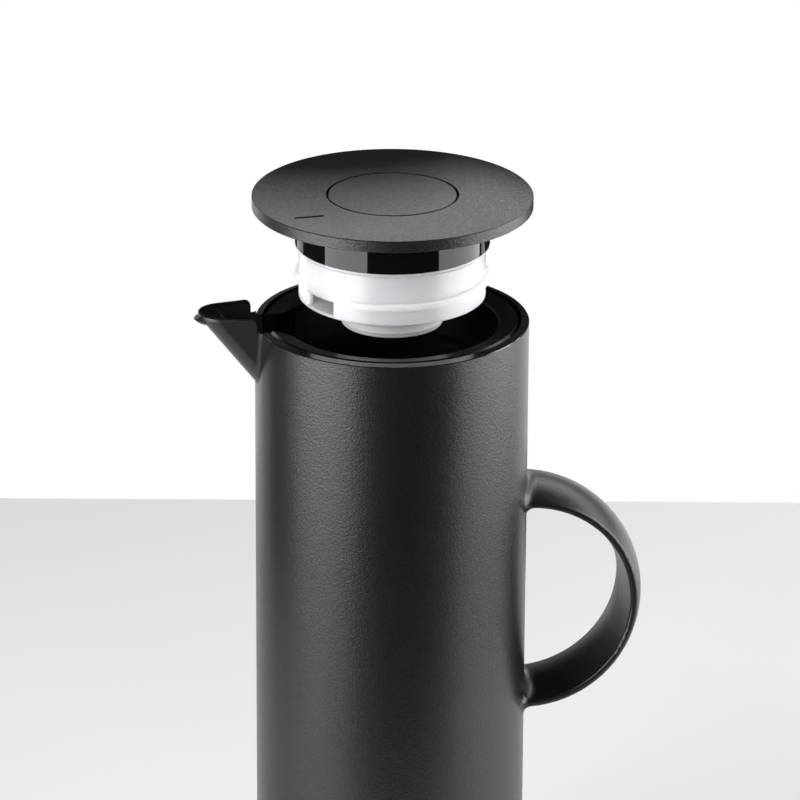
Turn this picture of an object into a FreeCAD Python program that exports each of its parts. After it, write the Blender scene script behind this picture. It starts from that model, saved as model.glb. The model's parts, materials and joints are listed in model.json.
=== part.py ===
import FreeCAD, Part
import math
import os

# Thermal jug in millimetres: base plane z = 0, +Z up, handle to +X, spout to -X, axis on the origin.
# The lid is drawn lifted straight up out of the mouth, turned to its open position.

V = FreeCAD.Vector
UP = V(0, 0, 1)

# Jug
BODY_R = 54.0
SHELL_WALL = 3.0
BORE_R = BODY_R - SHELL_WALL
RIM_Z = 298.0
RIM_ROUND = 0.3
RIM_FALL = 0.55
SHELL_FOOT_Z = 1.2
FOOT_ROUND = 1.5
LEDGE_REACH = 1.4
LEDGE_R = BORE_R - LEDGE_REACH
LEDGE_TOP = -6.0
LEDGE_BOTTOM = -9.0
SNAP_Z = 8.2
SNAP_REACH = 0.6
SNAP_GAP = 0.3

# Handle: half a ring whose strap section is crowned on both faces
HANDLE_SET = 1.1
HANDLE_X = BODY_R - HANDLE_SET
HANDLE_DROP = 118.6
HANDLE_EDGE_IN = 41.9
HANDLE_EDGE_OUT = 44.4
HANDLE_CROWN_IN = 40.3
HANDLE_CROWN_OUT = 48.2
HANDLE_SHARE = 0.3333
HANDLE_HALF_WIDTH = BODY_R * HANDLE_SHARE
HANDLE_ROOT = 9.0
HANDLE_FILLET = 4.5
STRAP_EDGE_FILLET = 1.15

# Spout: a beak drawn down along its keel
SPOUT_TOP = 5.4
SPOUT_REACH = 12.7
SPOUT_TIP_X = -BODY_R - SPOUT_REACH
SPOUT_TIP_R = 9.85
SPOUT_WALL = 1.5
SPOUT_FLARE = 12.6
SPOUT_ROOT = 24.0
SPOUT_BACK_X = SPOUT_ROOT - BODY_R
SPOUT_EDGE = 0.35
SPOUT_RIM = 1.2
KEEL_RUN = 0.787
KEEL_DEPTH = 50.0
SPOUT_SETBACK = 0.7
WALL_BACK_X = -BODY_R - SPOUT_SETBACK
WALL_BACK_ROUND = 2.6
VALLEY_FILLET = 2.5
STEP_BACK = 1.5
STEP_WINGS = 5.4
STEP_X = SPOUT_TIP_X + STEP_BACK
STEP_WING = STEP_X - STEP_WINGS
STEP_Z = 0.7
TROUGH_R = 11.5
TROUGH_SLOPE = 0.36
DRIP_Z = 2.8
DRIP_HALF_HEIGHT = 2.0
DRIP_REACH = 1.6
DRIP_R = 6.0

# Pouring collar
FLANGE_GAP = 0.6
FLANGE_R = BORE_R - FLANGE_GAP
FLANGE_OUTER_Z = -0.1
GROOVE_WIDE = 1.4
GROOVE_DEEP = 1.4
FLANGE_UNDER = -3.6
FLANGE_FOOT = 2.15
FLANGE_WIDE = 8.1
MOUTH_R = FLANGE_R - FLANGE_WIDE
MOUTH_Z = -1.1
MOUTH_TAPER = 2.9
TAPER_END = -20.0
BASIN_R = MOUTH_R - MOUTH_TAPER
BASIN_FLOOR = -38.5
BASIN_WALL = 2.4
BASIN_UNDER = BASIN_FLOOR - 2.5
THROAT_R = 20.7
THROAT_WALL = 2.5
THROAT_END = -50.0
THROAT_FOOT = 2.8
RING_WIDE = 9.3
RING_R = THROAT_R + RING_WIDE
RING_LAP = 2.0
RING_SHOULDER = 2.0
RING_FIT = 0.05
CHANNEL_TOP = -1.2
CHANNEL_DEPTH = 12.0
CHANNEL_WALL = 2.0
LUG_REACH = 2.0
LUG_R = BASIN_R - LUG_REACH
LUG_BOTTOM = -27.0
LUG_TOP = -24.4
LUG_FROM = 128.0
LUG_TO = 161.0

# Glass liner
GLASS = 1.8
LINER_GAP = 2.4
LINER_R = BORE_R - LINER_GAP
VACUUM = 2.6
LIP_TOP = -52.0
NECK_R = THROAT_R + 0.3
LIP_WIDE = 4.6
LIP_R = NECK_R + LIP_WIDE
NECK_WALL = 1.6
NECK_END = -57.5
SHOULDER_END = -80.0
LINER_FOOT_Z = 16.0
LINER_CORNER = 18.0
FOOT_GAP = 3.7
INNER_CORNER = 15.5
NIB_LONG = 5.5
SPACER_Z = 60.0
SPACER_HALF = 4.0
CENTRING_LOW = -92.0
CENTRING_HIGH = -86.0

# Base
CAP_Z = 0.8
CAP_PLATE = 3.2
CAP_TOP = 13.0
CAP_WALL = 2.1
FOOT_INSET = 4.0
FOOT_R = BORE_R - FOOT_INSET
FOOT_DEPTH = 1.2
CUSHION_R = 25.8
CUSHION_HOLE_R = 8.0
CUSHION_SEAT = 5.7

# Lid, heights counted from the rim when it is seated
LIFT = 46.3
LID_Z = RIM_Z + LIFT
LID_OVERHANG = 1.0
LID_R = BODY_R + LID_OVERHANG
LID_BOTTOM = 0.3
LID_TOP = 4.9
LID_PLATE = 2.0
LID_WALL = 2.4
TICK_AT = 147.0
TICK_INSET = 13.0
TICK_R = LID_R - TICK_INSET
TICK_LINE = 7.3
TICK_LONG = 11.6
TICK_WIDE = 1.7
TICK_DEEP = 0.5
SKIRT_GAP = 1.2
SKIRT_R = BASIN_R - SKIRT_GAP
SKIRT_WALL = 2.6
SKIRT_TOP = 0.5
SKIRT_END = -14.7
STOPPER_GAP = 2.7
STOPPER_R = BASIN_R - STOPPER_GAP
STOPPER_WALL = 2.8
STOPPER_END = -36.4
STOPPER_FLOOR = 1.3
STOPPER_LIP_R = SKIRT_R - 0.2
SPIGOT_TOP = -11.0
SPIGOT_STEP = 1.1
RIB_GAP = 1.0
RIB_R = BASIN_R - RIB_GAP
RIB_LOW = 7.5
RIB_HALF = 1.4
RIB_RISE = 0.95
RIB_LEAD = 124.5
RIB_ARC = 127.0
WINDOW_AT = 148.5
WINDOW_ARC = 26.0
WINDOW_HIGH = 5.5
SEAL_GAP = 0.7
SEAL_R = THROAT_R - SEAL_GAP
SEAL_RIB_R = THROAT_R - 0.08
SEAL_RIBS = 3
SEAL_RIB_STEP = 3.2
SEAL_END = -47.8
SEAL_GROOVE = 2.5
SEAL_HOLE_R = SEAL_R - SEAL_GROOVE
SEAL_NECK_R = SEAL_HOLE_R - 0.08
SEAL_WALL = 4.4
SEAL_BORE_R = SEAL_R - SEAL_WALL
SEAT_LEDGE = 1.6
SEAT_R = SEAL_BORE_R - SEAT_LEDGE
SEAT_Z = -45.5

# Button and valve
BUTTON_INSET = 12.2
BUTTON_HOLE_R = SKIRT_R - BUTTON_INSET
BUTTON_GAP = 0.9
BUTTON_R = BUTTON_HOLE_R - BUTTON_GAP
BUTTON_WALL = 1.8
BUTTON_UNDER = 2.5
BUTTON_SKIRT_END = -3.0
SOCKET_R = 5.0
SOCKET_END = -4.0
STEM_R = 2.8
STEM_TOP = 1.5
STEM_TIP_R = 2.0
STEM_STEP = 1.5
GUIDE_WALL = 2.0
GUIDE_FLOOR = 2.0
GUIDE_FLOOR_TOP = -9.0
GUIDE_BORE_R = STEM_R + 0.08
GUIDE_SLEEVE_R = 5.8
GUIDE_SLEEVE = 5.0
GLAND_R = 4.6
CLIP_Z = GUIDE_FLOOR_TOP - GUIDE_SLEEVE - 0.5
CLIP_R = 5.0
CLIP_GROOVE_R = 2.2
CLIP_HALF = 0.3
POPPET_LAP = 2.2
POPPET_R = SEAT_R + POPPET_LAP
POPPET_TOP = SEAT_Z - 0.9
POPPET_PLATE = 1.2
POPPET_HUB_R = 5.0
POPPET_HUB = 5.4
SPRING_R = 9.0
SPRING_WIRE_R = 0.46
SPRING_SIDES = 10
SPRING_STEPS = 24
SPRING_TURNS = 5


def outline(items, place):
    """Face inside a closed outline of corners; a pair of points is an arc by its middle and end."""
    edges = []
    first = place(*items[0])
    here = first
    for item in items[1:] + [items[0]]:
        if isinstance(item[0], tuple):
            end = place(*item[1])
            edges.append(Part.Arc(here, place(*item[0]), end).toShape())
        else:
            end = place(*item)
            if here.distanceToPoint(end) > 1e-6:
                edges.append(Part.makeLine(here, end))
        here = end
    return Part.Face(Part.Wire(edges))


def lathe(items, z0=0.0):
    """Solid turned about the jug's axis from (radius, height) points."""
    face = outline(items, lambda r, z: V(r, 0, z + z0))
    return face.revolve(V(0, 0, 0), UP, 360)


def ring(r_in, r_out, z_low, z_high):
    """Plain ring, or a disc where the inner radius is zero."""
    solid = Part.makeCylinder(r_out, z_high - z_low, V(0, 0, z_low))
    if r_in > 0:
        solid = solid.cut(Part.makeCylinder(r_in, z_high - z_low, V(0, 0, z_low)))
    return solid


def sector(r_in, r_out, z_low, z_high, from_deg, to_deg):
    """Part of a ring between two angles, counted clockwise from the handle, seen from above."""
    face = outline([(r_in, z_low), (r_out, z_low), (r_out, z_high), (r_in, z_high)], lambda r, z: V(r, 0, z))
    face.rotate(V(0, 0, 0), UP, -to_deg)
    return face.revolve(V(0, 0, 0), UP, to_deg - from_deg)


def beak(radius, z, tip_x=SPOUT_TIP_X):
    """Plan outline of the spout: two flared sides that are tangent to a round tip."""
    a = math.radians(SPOUT_FLARE)
    tx, ty = tip_x - radius * math.sin(a), radius * math.cos(a)
    back = ty + (SPOUT_BACK_X - tx) * math.tan(a)
    items = [(SPOUT_BACK_X, -back), (tx, -ty), ((tip_x - radius, 0.0), (tx, ty)), (SPOUT_BACK_X, back)]
    return outline(items, lambda x, y: V(x, y, z))


def beak_solid(radius):
    """Spout solid: the plan outline as a short upright rim, drawn down along the keel below it."""
    z, deep = RIM_Z + SPOUT_TOP - SPOUT_RIM, KEEL_DEPTH - SPOUT_RIM
    rim = beak(radius, z).extrude(V(0, 0, SPOUT_RIM))
    return beak(radius, z).extrude(V(KEEL_RUN * deep, 0, -deep)).fuse(rim).removeSplitter()


def side_prism(items, half):
    """Solid from an outline in the jug's middle plane, heights from the rim, as wide as twice half."""
    face = outline(items, lambda x, z: V(x, -half, z + RIM_Z))
    return face.extrude(V(0, 2 * half, 0))


def channel(extra, z_low, z_high):
    """Waisted pouring channel from mouth to spout, widened by extra on both sides, heights from the rim."""
    side = [(17.8, 20.9), (15.4, 16.8), (12.8, 12.9), (9.5, 10.6), (5.5, 9.8), (1.0, 9.6)]
    left = Part.BSplineCurve()
    left.interpolate([V(x - BODY_R, y + extra, RIM_Z + z_low) for x, y in side])
    right = Part.BSplineCurve()
    right.interpolate([V(x - BODY_R, -y - extra, RIM_Z + z_low) for x, y in side])
    edges = [left.toShape(), Part.makeLine(left.EndPoint, right.EndPoint), right.toShape(),
             Part.makeLine(right.StartPoint, left.StartPoint)]
    return Part.Face(Part.Wire(Part.__sortEdges__(edges))).extrude(V(0, 0, z_high - z_low))


def strap_section():
    """Lens-shaped section of the handle with softened edges, drawn where the ring is widest."""
    z0 = RIM_Z - HANDLE_DROP
    w = HANDLE_HALF_WIDTH
    items = [(HANDLE_EDGE_IN, -w), (HANDLE_EDGE_OUT, -w), ((HANDLE_CROWN_OUT, 0), (HANDLE_EDGE_OUT, w)),
             (HANDLE_EDGE_IN, w), ((HANDLE_CROWN_IN, 0), (HANDLE_EDGE_IN, -w))]
    stub = outline(items, lambda r, y: V(HANDLE_X + r, y, z0)).extrude(V(0, 0, 10))
    long = [e for e in stub.Edges if abs(e.BoundBox.ZLength - 10) < 0.001]
    stub = stub.makeFillet(STRAP_EDGE_FILLET, long)
    return min(stub.Faces, key=lambda f: f.CenterOfMass.z)


def strap():
    """Half-ring handle with straight roots that run into the wall."""
    face = strap_section()
    centre, axis = V(HANDLE_X, 0, RIM_Z - HANDLE_DROP), V(0, 1, 0)
    top = face.copy()
    top.rotate(centre, axis, -90)
    low = face.copy()
    low.rotate(centre, axis, 90)
    root = V(-HANDLE_ROOT, 0, 0)
    return top.revolve(centre, axis, 180).fuse([top.extrude(root), low.extrude(root)]).removeSplitter()


def edges_near(shape, test):
    """Edges of a shape whose middle point passes a test."""
    found = []
    for edge in shape.Edges:
        p = edge.valueAt((edge.FirstParameter + edge.LastParameter) / 2)
        if test(p, edge):
            found.append(edge)
    return found


def on_wall(p):
    """Whether a point lies on the body's outer cylinder."""
    return abs(math.hypot(p.x, p.y) - BODY_R) < 0.05


def drip_lip():
    """Rounded nose round the tip of the spout that sinks into both sides."""
    r, half = DRIP_R, DRIP_HALF_HEIGHT
    x0, z0 = SPOUT_TIP_X - SPOUT_TIP_R - DRIP_REACH + r, RIM_Z + DRIP_Z
    items = [(0, -half), ((0.74 * r, -0.68 * half), (r, 0)), ((0.74 * r, 0.68 * half), (0, half))]
    return outline(items, lambda d, z: V(x0 + d, 0, z0 + z)).revolve(V(x0, 0, z0), UP, 360)


def body_shell():
    """Cylinder, handle and spout as one moulding."""
    wall = Part.makeCylinder(BODY_R, RIM_Z - SHELL_FOOT_Z, V(0, 0, SHELL_FOOT_Z))
    wall.rotate(V(0, 0, 0), UP, 100)
    wall = wall.makeFillet(FOOT_ROUND, edges_near(wall, lambda p, e: p.z < SHELL_FOOT_Z + 0.01))
    solid = wall.fuse(strap()).removeSplitter()
    reach = HANDLE_CROWN_OUT + HANDLE_FILLET
    roots = edges_near(solid, lambda p, e: on_wall(p) and p.x > 0 and abs(p.z - RIM_Z + HANDLE_DROP) < reach)
    solid = solid.makeFillet(HANDLE_FILLET, roots)
    r = WALL_BACK_ROUND
    far, deep = 2 * SPOUT_TIP_X, -KEEL_DEPTH - SPOUT_TOP
    keep = [(far, SPOUT_TOP), (WALL_BACK_X - r, SPOUT_TOP),
            ((WALL_BACK_X - 0.293 * r, SPOUT_TOP - 0.293 * r), (WALL_BACK_X, SPOUT_TOP - r)),
            (WALL_BACK_X, 0), (SPOUT_BACK_X, 0), (SPOUT_BACK_X, deep), (far, deep)]
    spout = beak_solid(SPOUT_TIP_R).common(side_prism(keep, BODY_R))
    top = RIM_Z + SPOUT_TOP
    rim = edges_near(spout, lambda p, e: e.BoundBox.ZMin > top - 0.01 and p.x < WALL_BACK_X - r - 0.5)
    solid = solid.fuse(spout.makeFillet(SPOUT_EDGE, rim)).removeSplitter()
    low = RIM_Z - KEEL_DEPTH
    valley = edges_near(solid, lambda p, e: on_wall(p) and p.x < 0 and low < p.z < RIM_Z - 0.5)
    solid = solid.makeFillet(VALLEY_FILLET, valley)
    solid = solid.fuse(drip_lip())
    inside = Part.makeCylinder(BORE_R, RIM_Z + 20, V(0, 0, -10))
    ledge = ring(LEDGE_R, BORE_R + 1, RIM_Z + LEDGE_BOTTOM, RIM_Z + LEDGE_TOP)
    inside = inside.cut(ledge.cut(channel(CHANNEL_WALL + 1.1, -20.0, 0.0)))
    out = BORE_R + SNAP_REACH
    inside = inside.fuse(lathe([(BORE_R - 1, SNAP_Z - 1.6), (out, SNAP_Z - 0.6),
                                (out, SNAP_Z + 0.6), (BORE_R - 1, SNAP_Z + 1.6)]))
    solid = solid.cut(inside)
    hollow = beak_solid(SPOUT_TIP_R - SPOUT_WALL)
    wide = SPOUT_TIP_R + 0.4
    wing = STEP_WING - 20
    front = [(far, 0), (wing, -40), (STEP_WING, -wide), (STEP_X, 0), (STEP_WING, wide), (wing, 40)]
    front = outline(front, lambda x, y: V(x, y, RIM_Z - 60)).extrude(V(0, 0, 70))
    solid = solid.cut(hollow.cut(front))
    along = V(1, 0, -TROUGH_SLOPE)
    along.normalize()
    lift = V(TROUGH_SLOPE, 0, 1)
    lift.normalize()
    base = V(STEP_X, 0, RIM_Z + STEP_Z) + lift * TROUGH_R - along * 14.0
    trough = Part.makeCylinder(TROUGH_R, 22.0, base, along)
    inner_plan = beak(SPOUT_TIP_R - 0.9, RIM_Z - 20).extrude(V(0, 0, 40))
    limit = Part.makeBox(STEP_X + 9.0 - far, 2 * BODY_R, 40, V(far, -BODY_R, RIM_Z - 20))
    solid = solid.cut(trough.common(inner_plan).common(limit)).removeSplitter()
    out, edge = BODY_R + 0.02, BODY_R - RIM_ROUND
    return solid.cut(lathe([(BORE_R, 0), (edge, -RIM_FALL), (out, -RIM_FALL - out + edge), (out, 0.5),
                            (BORE_R, 0.5)], RIM_Z))


def pouring_collar():
    """Insert in the mouth: dished flange, basin with two bayonet lugs, channel to the spout."""
    edge, floor = MOUTH_R + 1.0, BASIN_FLOOR
    mouth = [(edge, MOUTH_Z), ((MOUTH_R - 0.1, MOUTH_Z - 0.4), (MOUTH_R - 0.6, MOUTH_Z - 1.6)),
             (BASIN_R, TAPER_END), (BASIN_R, floor + 1.5),
             ((BASIN_R - 0.44, floor + 0.44), (BASIN_R - 1.5, floor))]
    hole, out, step = RING_R + RING_FIT, BASIN_R + BASIN_WALL, FLANGE_R - FLANGE_FOOT
    under = [(hole, floor), (hole, BASIN_UNDER), (out, BASIN_UNDER), (out, TAPER_END),
             (MOUTH_R + 2.0, FLANGE_UNDER),
             (step, FLANGE_UNDER), (step, LEDGE_TOP), (FLANGE_R, LEDGE_TOP),
             (FLANGE_R, FLANGE_OUTER_Z - GROOVE_DEEP), (FLANGE_R - GROOVE_WIDE, FLANGE_OUTER_Z)]
    solid = lathe(mouth + under, RIM_Z)
    within = Part.makeCylinder(FLANGE_R, 60, V(0, 0, RIM_Z + CHANNEL_TOP - 60))
    above_floor = Part.makeCylinder(BODY_R + 6, 60, V(0, 0, RIM_Z + BASIN_UNDER))
    low = -CHANNEL_DEPTH - CHANNEL_WALL
    trough = beak_solid(SPOUT_TIP_R).common(above_floor).fuse(channel(CHANNEL_WALL, low, CHANNEL_TOP))
    basin = lathe([(0, 5.0), (edge, 5.0)] + mouth + [(0, BASIN_FLOOR)], RIM_Z)
    core = Part.makeCylinder(BASIN_R + 0.5, 30.0, V(0, 0, RIM_Z + BASIN_FLOOR - 29.0))
    solid = solid.fuse(trough.common(within).cut(basin).cut(core))
    deep = Part.makeCylinder(BODY_R + 6, 28.0, V(0, 0, RIM_Z + BASIN_FLOOR))
    deep = beak_solid(SPOUT_TIP_R - SPOUT_WALL).common(deep)
    solid = solid.cut(deep).cut(channel(0.0, -CHANNEL_DEPTH, 2.0))
    for turn in (0.0, 180.0):
        solid = solid.fuse(sector(LUG_R, BASIN_R + 0.8, RIM_Z + LUG_BOTTOM, RIM_Z + LUG_TOP,
                                  LUG_FROM + turn, LUG_TO + turn))
    return solid.removeSplitter()


def throat_ring():
    """Ring in the basin's floor with the throat tube that stands on the glass liner's seal."""
    floor, t = BASIN_FLOOR, THROAT_R
    low, lap, seat = BASIN_UNDER - RING_SHOULDER, RING_R + RING_LAP, BASIN_UNDER - RING_FIT
    lip, neck, foot = LIP_R - 0.1, t + THROAT_WALL, THROAT_END + THROAT_FOOT
    items = [(t + 1.5, floor), ((t + 0.44, floor - 0.44), (t, floor - 1.5)), (t, THROAT_END),
             (lip, THROAT_END),
             (lip, foot), (neck, foot), (neck, low), (lap, low), (lap, seat), (RING_R, seat),
             (RING_R, floor)]
    return lathe(items, RIM_Z)


def shoulder(r_neck, z_neck, r_wall, z_wall):
    """Point on the round shoulder between a flask's neck and its wall."""
    return r_neck + 0.71 * (r_wall - r_neck), z_wall + 0.66 * (z_neck - z_wall)


def liner_outer_flask():
    """Outer glass wall with the sealed nib at the bottom."""
    r, z, c = LINER_R, LINER_FOOT_Z, LINER_CORNER
    k, m = r - GLASS, c - GLASS
    x0, neck = r - c, LIP_R - GLASS
    top = RIM_Z + LIP_TOP - NECK_WALL
    wall, high = RIM_Z + SHOULDER_END, RIM_Z + NECK_END
    items = [(0, z - NIB_LONG), (1.0, z - NIB_LONG), (3.0, z), (x0, z),
             ((x0 + 0.7071 * c, z + 0.2929 * c), (r, z + c)), (r, wall),
             (shoulder(LIP_R, high, r, wall), (LIP_R, high)), (LIP_R, top), (neck, top),
             (neck, high - NECK_WALL),
             (shoulder(neck, high - NECK_WALL, k, wall - 0.3), (k, wall - 0.3)), (k, z + c),
             ((x0 + 0.7071 * m, z + c - 0.7071 * m), (x0, z + GLASS)), (0, z + GLASS)]
    return lathe(items)


def liner_inner_flask():
    """Inner glass wall that holds the drink, with the lip that closes the gap between the walls."""
    r = LINER_R - GLASS - VACUUM
    k = r - GLASS
    z = LINER_FOOT_Z + GLASS + FOOT_GAP
    c, m = INNER_CORNER, INNER_CORNER - GLASS
    x0, neck = r - c, NECK_R + NECK_WALL
    top = RIM_Z + LIP_TOP
    wall, high = RIM_Z + SHOULDER_END - 3.0, RIM_Z + NECK_END - 3.0
    low, near = wall - 1.5, high - 1.3
    items = [(0, z), (x0, z), ((x0 + 0.7071 * c, z + 0.2929 * c), (r, z + c)), (r, wall),
             (shoulder(neck, high, r, wall), (neck, high)), (neck, top - NECK_WALL),
             (LIP_R, top - NECK_WALL),
             (LIP_R, top), (NECK_R, top), (NECK_R, near), (shoulder(NECK_R, near, k, low), (k, low)),
             (k, z + c), ((x0 + 0.7071 * m, z + c - 0.7071 * m), (x0, z + c - m)), (0, z + c - m)]
    return lathe(items)


def liner_spacers():
    """Three pads that keep the glass walls apart."""
    r_in, r_out = LINER_R - GLASS - VACUUM + 0.05, LINER_R - GLASS - 0.05
    low, high = SPACER_Z - SPACER_HALF, SPACER_Z + SPACER_HALF
    return Part.makeCompound([sector(r_in, r_out, low, high, a - 5, a + 5) for a in (30, 150, 270)])


def base_cap():
    """Snap-in base with the seat for the cushion and the recess for the standing pad."""
    plate = CAP_Z + CAP_PLATE
    r, recess = BORE_R - SNAP_GAP, CAP_Z + FOOT_DEPTH
    bead, inner = r + SNAP_REACH, r - CAP_WALL
    cup, out = CUSHION_R + 0.2, CUSHION_R + 2.4
    items = [(0, recess), (FOOT_R, recess), (FOOT_R, CAP_Z), (r - 0.4, CAP_Z), (r, CAP_Z + 0.4),
             (r, SNAP_Z - 1.2),
             (bead, SNAP_Z - 0.4), (bead, SNAP_Z + 0.4), (r, SNAP_Z + 1.2), (r, CAP_TOP), (inner, CAP_TOP),
             (inner, plate), (out, plate), (out, plate + CUSHION_SEAT), (cup, plate + CUSHION_SEAT),
             (cup, plate),
             (0, plate)]
    return lathe(items)


def base_pieces():
    """Cushion, nib cap and standing pad."""
    plate = CAP_Z + CAP_PLATE
    z = LINER_FOOT_Z
    hole, r = CUSHION_HOLE_R, CUSHION_R
    cushion = lathe([(hole, plate), (r, plate), (r, z - 4.0), (r - 3.8, z), (hole, z)])
    tip = z - NIB_LONG - 0.2
    nib = lathe([(0, tip - 1.8), (4.2, tip - 1.8), (4.2, z - 1.5), (2.6, z - 1.5), (1.12, tip), (0, tip)])
    foot = lathe([(0, 0), (FOOT_R - 0.4, 0), (FOOT_R - 0.1, 0.3), (FOOT_R - 0.1, CAP_Z + FOOT_DEPTH),
                  (0, CAP_Z + FOOT_DEPTH)])
    return cushion, nib, foot


def lid_cover():
    """Flat disc with a plain hole for the button and an engraved position tick."""
    under = LID_TOP - LID_PLATE
    hole, inner = BUTTON_HOLE_R, LID_R - LID_WALL
    items = [(hole, LID_TOP), (LID_R - 0.3, LID_TOP), (LID_R, LID_TOP - 0.3), (LID_R, LID_BOTTOM + 0.2),
             (LID_R - 0.2, LID_BOTTOM), (inner, LID_BOTTOM), (inner, under), (hole, under)]
    solid = lathe(items, LID_Z)
    corner = V(-TICK_LONG / 2, -TICK_WIDE / 2, LID_Z + LID_TOP - TICK_DEEP)
    tick = Part.makeBox(TICK_LONG, TICK_WIDE, TICK_DEEP + 1, corner)
    tick.rotate(V(0, 0, 0), UP, TICK_LINE)
    a = math.radians(TICK_AT)
    tick.translate(V(TICK_R * math.cos(a), -TICK_R * math.sin(a), 0))
    return solid.cut(tick)


def lid_skirt():
    """Flange that closes the disc from below, with the polished skirt."""
    top = LID_TOP - LID_PLATE
    inner, hole, out = SKIRT_R - SKIRT_WALL, BUTTON_HOLE_R + GUIDE_WALL + 0.3, LID_R - LID_WALL - 0.3
    items = [(hole, top), (out, top), (out, SKIRT_TOP), (SKIRT_R, SKIRT_TOP), (SKIRT_R, SKIRT_END + 0.2),
             (SKIRT_R - 0.2, SKIRT_END), (inner, SKIRT_END), (inner, SKIRT_TOP), (hole, SKIRT_TOP)]
    return lathe(items, LID_Z)


def bayonet_rib():
    """Ramped rib that starts low at its leading end."""
    mid = (STOPPER_R - 0.3 + RIB_R) / 2
    helix = Part.makeHelix(RIB_RISE * 360.0 / RIB_ARC, RIB_RISE, mid)
    low, high = STOPPER_R - 0.3, RIB_R
    corners = [V(low, 0, -RIB_HALF), V(high, 0, -RIB_HALF + 0.3),
               V(high, 0, RIB_HALF - 0.3), V(low, 0, RIB_HALF)]
    profile = Part.makePolygon(corners + [corners[0]])
    solid = Part.Wire(helix.Edges).makePipeShell([profile], True, True)
    solid.rotate(V(0, 0, 0), UP, -RIB_LEAD)
    solid.translate(V(0, 0, LID_Z + STOPPER_END + RIB_LOW))
    return solid


def stopper_body():
    """White stopper: cup with two bayonet ribs and the pouring window."""
    inner = STOPPER_R - STOPPER_WALL
    floor = STOPPER_END + STOPPER_FLOOR
    spigot = SKIRT_R - SKIRT_WALL - 0.3
    step = inner - SPIGOT_STEP
    items = [(inner, floor), (inner, SKIRT_END - 0.7 - SPIGOT_STEP), (step, SKIRT_END - 0.7),
             (step, SPIGOT_TOP),
             (spigot, SPIGOT_TOP), (spigot, SKIRT_END), (STOPPER_LIP_R, SKIRT_END),
             (STOPPER_LIP_R, SKIRT_END - 0.8), (STOPPER_R, SKIRT_END - 1.9), (STOPPER_R, STOPPER_END + 0.4),
             (STOPPER_R - 0.4, STOPPER_END), (SEAL_HOLE_R, STOPPER_END), (SEAL_HOLE_R, floor)]
    solid = lathe(items, LID_Z)
    rib = bayonet_rib()
    twin = rib.copy()
    twin.rotate(V(0, 0, 0), UP, 180)
    solid = solid.fuse([rib, twin])
    window = sector(inner - STOPPER_WALL, RIB_R + STOPPER_WALL, LID_Z + floor, LID_Z + floor + WINDOW_HIGH,
                    WINDOW_AT - WINDOW_ARC / 2, WINDOW_AT + WINDOW_ARC / 2)
    return solid.cut(window)


def neck_seal():
    """Ribbed silicone sleeve that plugs the throat and carries the valve seat."""
    bead = STOPPER_END + STOPPER_FLOOR + 0.15
    shoulder = STOPPER_END - 0.15
    flange, mouth = SEAL_R - 0.8, SEAL_R - 3.0
    items = [(SEAL_BORE_R, bead + 1.7), (flange, bead + 1.7), (flange, bead), (SEAL_NECK_R, bead),
             (SEAL_NECK_R, shoulder), (SEAL_R, shoulder)]
    for rib in range(SEAL_RIBS):
        low = STOPPER_END - 2.0 - SEAL_RIB_STEP * rib
        items += [(SEAL_R, low), (SEAL_RIB_R, low - 0.4), (SEAL_RIB_R, low - 1.2), (SEAL_R, low - 1.6)]
    items += [(SEAL_R, SEAL_END + 0.5), (SEAL_R - 0.5, SEAL_END), (mouth, SEAL_END), (mouth, SEAT_Z),
              (SEAT_R, SEAT_Z), (SEAT_R, SEAT_Z + 1.3), (SEAL_BORE_R, SEAT_Z + 1.3 + SEAT_LEDGE)]
    return lathe(items, LID_Z)


def button_guide():
    """Cup below the button with the sleeve for the stem."""
    f, b = GUIDE_FLOOR_TOP, GUIDE_BORE_R
    top, under, end = LID_TOP - LID_PLATE, f - GUIDE_FLOOR, f - GUIDE_SLEEVE
    cup, wall, out = BUTTON_HOLE_R, BUTTON_HOLE_R + GUIDE_WALL, SKIRT_R - SKIRT_WALL - 0.4
    items = [(b, f), (cup, f), (cup, top), (wall, top), (wall, f), (out, f), (out, under),
             (GUIDE_SLEEVE_R, under),
             (GUIDE_SLEEVE_R, end), (b, end), (b, end + 0.9), (GLAND_R, end + 0.9), (GLAND_R, under - 0.3),
             (b, under - 0.3)]
    return lathe(items, LID_Z)


def push_button():
    """Flush round button with a guiding skirt and a socket for the stem."""
    r, w = BUTTON_R, BUTTON_WALL
    end = BUTTON_SKIRT_END
    items = [(0, LID_TOP), (r - 0.25, LID_TOP), (r, LID_TOP - 0.25), (r, end), (r - w, end),
             (r - w, BUTTON_UNDER),
             (SOCKET_R, BUTTON_UNDER), (SOCKET_R, SOCKET_END), (STEM_R + 0.02, SOCKET_END),
             (STEM_R + 0.02, STEM_TOP), (0, STEM_TOP)]
    return lathe(items, LID_Z)


def valve_stem():
    """Rod from the button down to the poppet, with a groove for the clip."""
    r, g = STEM_R, CLIP_GROOVE_R
    high, low = CLIP_Z + CLIP_HALF + 0.05, CLIP_Z - CLIP_HALF - 0.05
    step, end = SEAT_Z + STEM_STEP, POPPET_TOP - 0.2
    items = [(0, STEM_TOP), (r, STEM_TOP), (r, high), (g, high), (g, low), (r, low), (r, step),
             (STEM_TIP_R, step),
             (STEM_TIP_R, end), (0, end)]
    return lathe(items, LID_Z)


def stem_clip():
    """Open clip in the stem's groove."""
    half = CLIP_GROOVE_R - 0.5
    slot = Part.makeBox(CLIP_R + 3.0, 2 * half, 4.0, V(0, -half, LID_Z + CLIP_Z - 2.0))
    z = LID_Z + CLIP_Z
    return ring(CLIP_GROOVE_R + 0.02, CLIP_R, z - CLIP_HALF, z + CLIP_HALF).cut(slot)


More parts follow.
